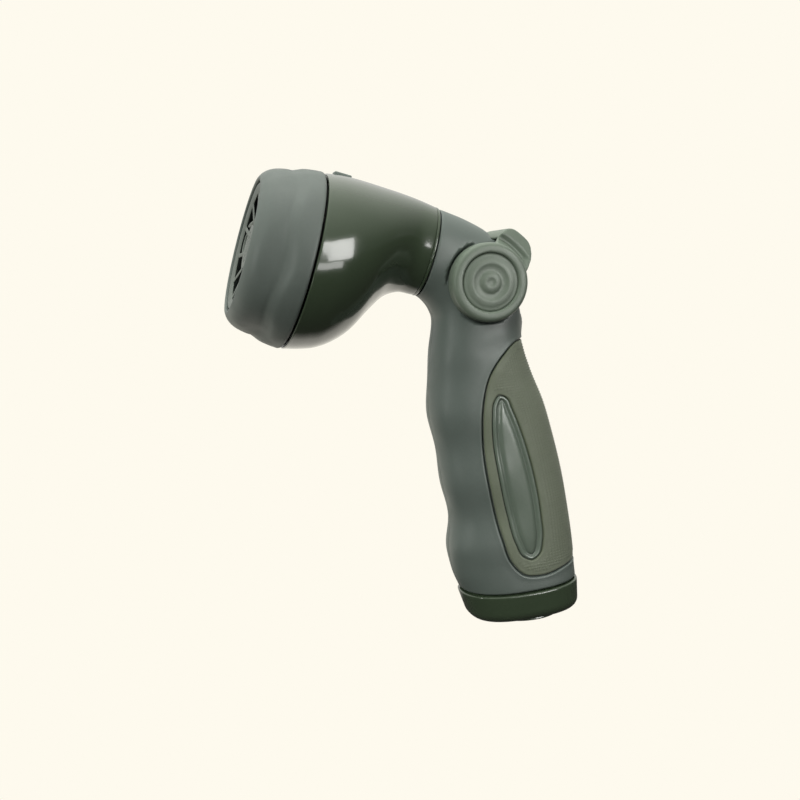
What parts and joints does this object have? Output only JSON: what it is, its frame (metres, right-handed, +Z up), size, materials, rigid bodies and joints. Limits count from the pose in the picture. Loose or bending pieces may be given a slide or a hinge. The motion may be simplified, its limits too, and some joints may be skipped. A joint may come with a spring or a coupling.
{
  "type": "hose spray nozzle",
  "caption": "Pistol-shaped garden hose nozzle with a turning pattern dial, a thumb lever on a ball valve, a soft back grip and a threaded hose inlet.",
  "frame": {"origin": "centre of the hose inlet's mouth, at the bottom face of the end cap", "axes": "+Z up along the hose inlet and the handle, spray side towards -X, Y across; the spray axis tilts 20 degrees above -X"},
  "size_m": [0.1367, 0.071, 0.1931],
  "materials": {
    "handle_plastic": "fine matte",
    "bezel_plastic": "soft matte",
    "gloss_green": "high gloss",
    "lever_plastic": "satin",
    "grip_rubber": "fine checkered soft grip",
    "inlay_gloss": "gloss",
    "face_plastic": "satin",
    "inner_black": "moulded black",
    "inner_white": "acetal",
    "brass": "machined",
    "steel": "stainless",
    "seal_rubber": "black elastomer"
  },
  "bodies": {
    "handle_assembly": {"handle_left": "handle_plastic", "handle_right": "handle_plastic", "back_grip": "grip_rubber", "inlay_left": "inlay_gloss", "inlay_right": "inlay_gloss", "handle_screws": "steel", "bottom_cap": "gloss_green", "hose_inlet_insert": "brass", "hose_washer": "seal_rubber", "inlet_screen": "steel", "inlet_seal": "seal_rubber", "lower_flow_tube": "inner_white", "upper_flow_tube": "inner_white", "valve_body": "inner_white", "valve_cover": "inner_white", "inlet_seat": "inner_white", "outlet_seat": "inner_white", "stem_seals": "seal_rubber", "tube_seals": "seal_rubber", "head_housing": "gloss_green", "neck_bead_ring": "gloss_green", "pattern_pointer": "handle_plastic", "spray_hub": "inner_black", "hub_screws": "steel", "port_seal": "seal_rubber", "port_seal_spring": "steel", "dial_washer": "steel", "dial_screw": "steel", "detent_spring": "steel"},
    "dial_assembly": {"dial_rotor": "inner_black", "face_plate": "face_plastic", "shower_plate": "face_plastic", "bezel_grip": "bezel_plastic", "cone_nozzle": "face_plastic", "flat_nozzle": "face_plastic", "jet_nozzle": "face_plastic", "mist_nozzle": "face_plastic", "soaker_grid": "inner_black"},
    "lever_assembly": {"thumb_lever": "lever_plastic", "knob_cap_left": "lever_plastic", "knob_cap_right": "lever_plastic", "lever_screws": "steel", "valve_ball": "brass"},
    "detent_plunger": {"detent_pin": "steel"}
  },
  "joints": [
    {"name": "dial_turn", "type": "hinge", "parent": "handle_assembly", "child": "dial_assembly", "pos_m": [-0.08078, 0, 0.15693], "axis": [-0.9397, 0, 0.342], "continuous": true},
    {"name": "lever_swing", "type": "hinge", "parent": "handle_assembly", "child": "lever_assembly", "pos_m": [-0.0096, 0, 0.1417], "axis": [0, 1, 0], "range_deg": [0, 50]},
    {"name": "detent_slide", "type": "slide", "parent": "handle_assembly", "child": "detent_plunger", "axis": [-0.9397, 0, 0.342], "range_m": [-0.0012, 0], "stiffness_N_per_m": 400, "springref_m": 0.003, "deforming": ["detent_spring"]}
  ]
}
